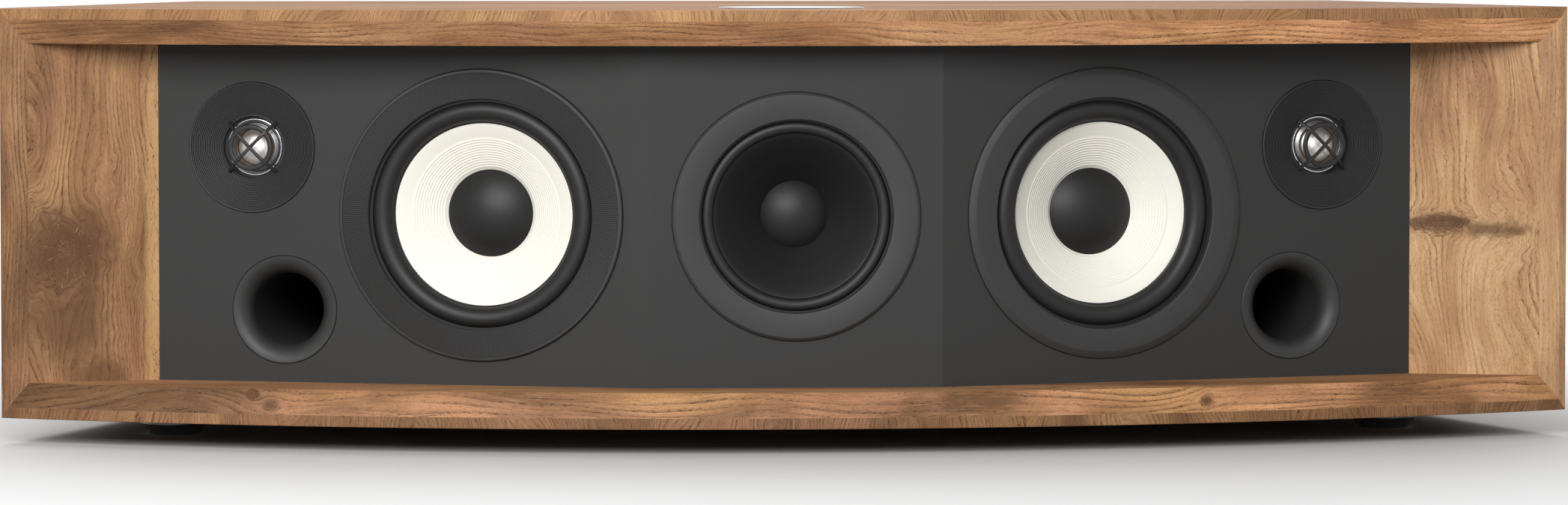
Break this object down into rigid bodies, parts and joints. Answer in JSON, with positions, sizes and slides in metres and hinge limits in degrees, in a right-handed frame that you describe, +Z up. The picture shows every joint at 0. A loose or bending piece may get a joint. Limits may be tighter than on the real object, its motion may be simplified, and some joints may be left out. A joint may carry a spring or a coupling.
{
  "type": "wireless speaker",
  "caption": "Long bow-fronted wooden wireless speaker with a faceted dark baffle, pale-coned woofers, a midrange, metal-dome tweeters and flared bass ports.",
  "frame": {"origin": "on the surface under the feet, below the middle of the box", "axes": "+Z up, +X to the right seen from the front, the front faces -Y"},
  "size_m": [0.76, 0.296, 0.21],
  "materials": {
    "oak_boards": "oiled, open grain",
    "oak_cheeks": "oiled, knotty",
    "baffle_paint": "fibreboard with satin dark grey paint",
    "rear_paint": "fibreboard with black paint",
    "fibreboard": "raw",
    "touch_gloss": "polished",
    "foot_gloss": "gloss",
    "ring_moulding": "satin",
    "basket_cast": "cast",
    "surround_rubber": "satin",
    "woofer_cone": "pale fibre, satin",
    "mid_cone": "black fibre, satin",
    "dust_cap": "satin",
    "coil_copper": "wound wire",
    "spider_cloth": "resin-stiffened weave",
    "motor_steel": "black plated",
    "faceplate_moulding": "grooved, satin",
    "guard_moulding": "satin",
    "bezel_chrome": "polished",
    "dome_edge": "bronze tint",
    "dome_metal": "bright",
    "port_moulding": "satin",
    "tray_moulding": "textured",
    "inlet_moulding": "smooth",
    "socket_plating": "plated",
    "circuit_board": "green lacquer",
    "screw_steel": "black zinc"
  },
  "bodies": {
    "cabinet": {"top_panel": "oak_boards", "bottom_panel": "oak_boards", "left_side_panel": "oak_boards", "right_side_panel": "oak_boards", "left_cheek": "oak_cheeks", "right_cheek": "oak_cheeks", "front_baffle": "baffle_paint", "rear_panel": "rear_paint", "left_partition": "fibreboard", "right_partition": "fibreboard", "touch_disc": "touch_gloss", "front_left_foot": "foot_gloss", "front_right_foot": "foot_gloss", "rear_left_foot": "foot_gloss", "rear_right_foot": "foot_gloss", "left_woofer_trim_ring": "ring_moulding", "left_woofer_basket": "basket_cast", "left_woofer_surround": "surround_rubber", "left_woofer_spider": "spider_cloth", "left_woofer_motor": "motor_steel", "right_woofer_trim_ring": "ring_moulding", "right_woofer_basket": "basket_cast", "right_woofer_surround": "surround_rubber", "right_woofer_spider": "spider_cloth", "right_woofer_motor": "motor_steel", "mid_trim_ring": "ring_moulding", "mid_basket": "basket_cast", "mid_surround": "surround_rubber", "mid_spider": "spider_cloth", "mid_motor": "motor_steel", "left_tweeter_faceplate": "faceplate_moulding", "left_tweeter_guard": "guard_moulding", "left_tweeter_bezel": "bezel_chrome", "left_tweeter_surround": "dome_edge", "left_tweeter_motor": "motor_steel", "right_tweeter_faceplate": "faceplate_moulding", "right_tweeter_guard": "guard_moulding", "right_tweeter_bezel": "bezel_chrome", "right_tweeter_surround": "dome_edge", "right_tweeter_motor": "motor_steel", "left_port": "port_moulding", "right_port": "port_moulding", "connector_panel": "tray_moulding", "mains_inlet": "inlet_moulding", "line_sockets": "socket_plating", "amplifier_board": "circuit_board", "power_supply": "circuit_board", "driver_screws": "screw_steel", "rear_screws": "screw_steel"},
    "left_woofer_body": {"left_woofer_cone": "woofer_cone", "left_woofer_dust_cap": "dust_cap", "left_woofer_voice_coil": "coil_copper"},
    "right_woofer_body": {"right_woofer_cone": "woofer_cone", "right_woofer_dust_cap": "dust_cap", "right_woofer_voice_coil": "coil_copper"},
    "mid_body": {"mid_cone": "mid_cone", "mid_dust_cap": "dust_cap", "mid_voice_coil": "coil_copper"},
    "left_tweeter_body": {"left_tweeter_dome": "dome_metal"},
    "right_tweeter_body": {"right_tweeter_dome": "dome_metal"}
  },
  "joints": [
    {"name": "left_woofer_travel", "type": "slide", "parent": "cabinet", "child": "left_woofer_body", "axis": [-0.2588, -0.9659, 0], "range_m": [-0.004, 0.004], "stiffness_N_per_m": 1000, "deforming": ["left_woofer_surround", "left_woofer_spider"]},
    {"name": "right_woofer_travel", "type": "slide", "parent": "cabinet", "child": "right_woofer_body", "axis": [0.2588, -0.9659, 0], "range_m": [-0.004, 0.004], "stiffness_N_per_m": 1000, "deforming": ["right_woofer_surround", "right_woofer_spider"]},
    {"name": "mid_travel", "type": "slide", "parent": "cabinet", "child": "mid_body", "axis": [0, -1, 0], "range_m": [-0.0025, 0.0025], "stiffness_N_per_m": 1000, "deforming": ["mid_surround", "mid_spider"]},
    {"name": "left_tweeter_travel", "type": "slide", "parent": "cabinet", "child": "left_tweeter_body", "axis": [-0.2588, -0.9659, 0], "range_m": [-0.0003, 0.0003], "stiffness_N_per_m": 100, "deforming": ["left_tweeter_surround"]},
    {"name": "right_tweeter_travel", "type": "slide", "parent": "cabinet", "child": "right_tweeter_body", "axis": [0.2588, -0.9659, 0], "range_m": [-0.0003, 0.0003], "stiffness_N_per_m": 100, "deforming": ["right_tweeter_surround"]}
  ]
}
